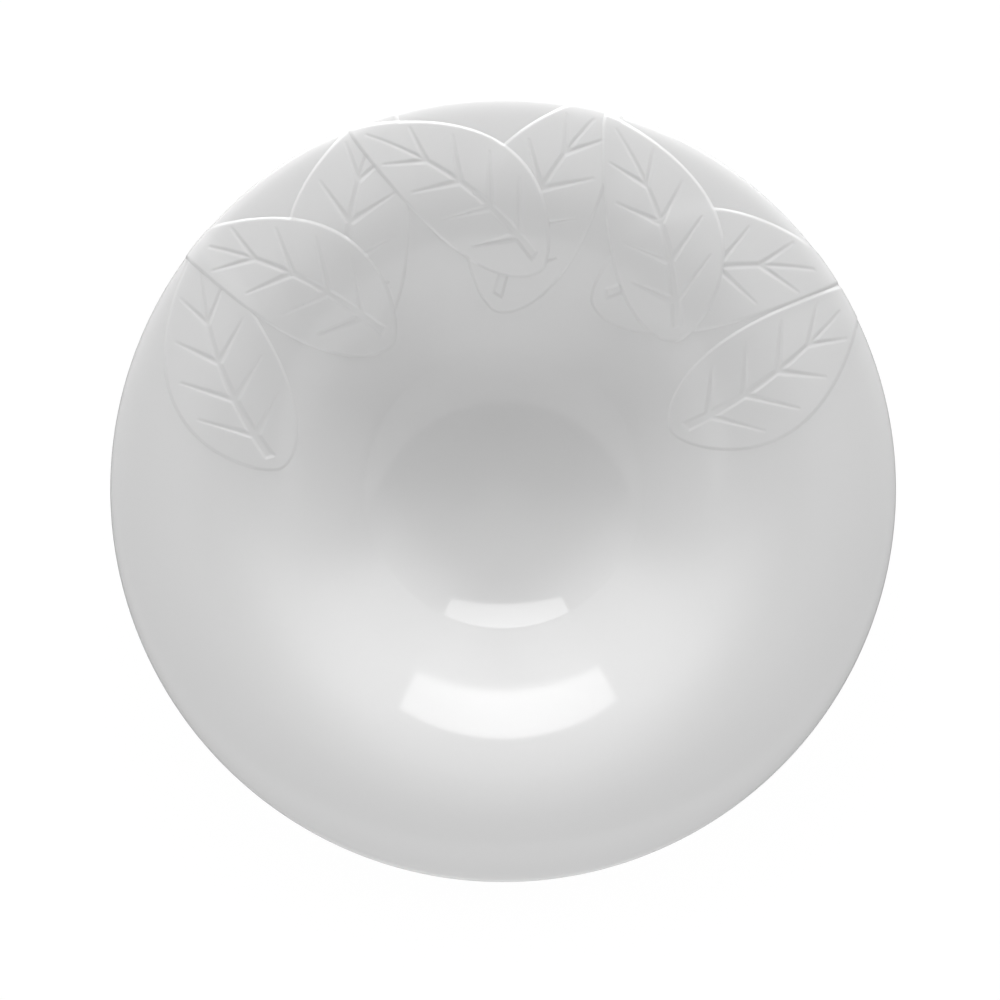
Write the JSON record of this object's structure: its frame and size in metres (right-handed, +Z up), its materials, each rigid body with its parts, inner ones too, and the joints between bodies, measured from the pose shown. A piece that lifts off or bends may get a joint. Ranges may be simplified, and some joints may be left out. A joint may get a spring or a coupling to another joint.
{
  "type": "pasta bowl",
  "caption": "Round white porcelain pasta bowl with a deep well, a wide rim that droops to a rounded lip, a foot ring and a raised relief of leaves.",
  "frame": {"origin": "centre of the circle that the foot ring stands on, on the table's surface", "axes": "+Z up along the bowl's axis of revolution, +Y towards the middle of the leaf relief, +X to the right of someone who faces the relief"},
  "size_m": [0.3, 0.3, 0.0583],
  "materials": {
    "porcelain": "gloss",
    "foot": "gloss"
  },
  "bodies": {
    "root": {"bowl_body": "porcelain", "foot_ring": "foot", "leaf_1": "porcelain", "leaf_2": "porcelain", "leaf_3": "porcelain", "leaf_4": "porcelain", "leaf_5": "porcelain", "leaf_6": "porcelain", "leaf_7": "porcelain", "leaf_8": "porcelain"}
  },
  "joints": []
}
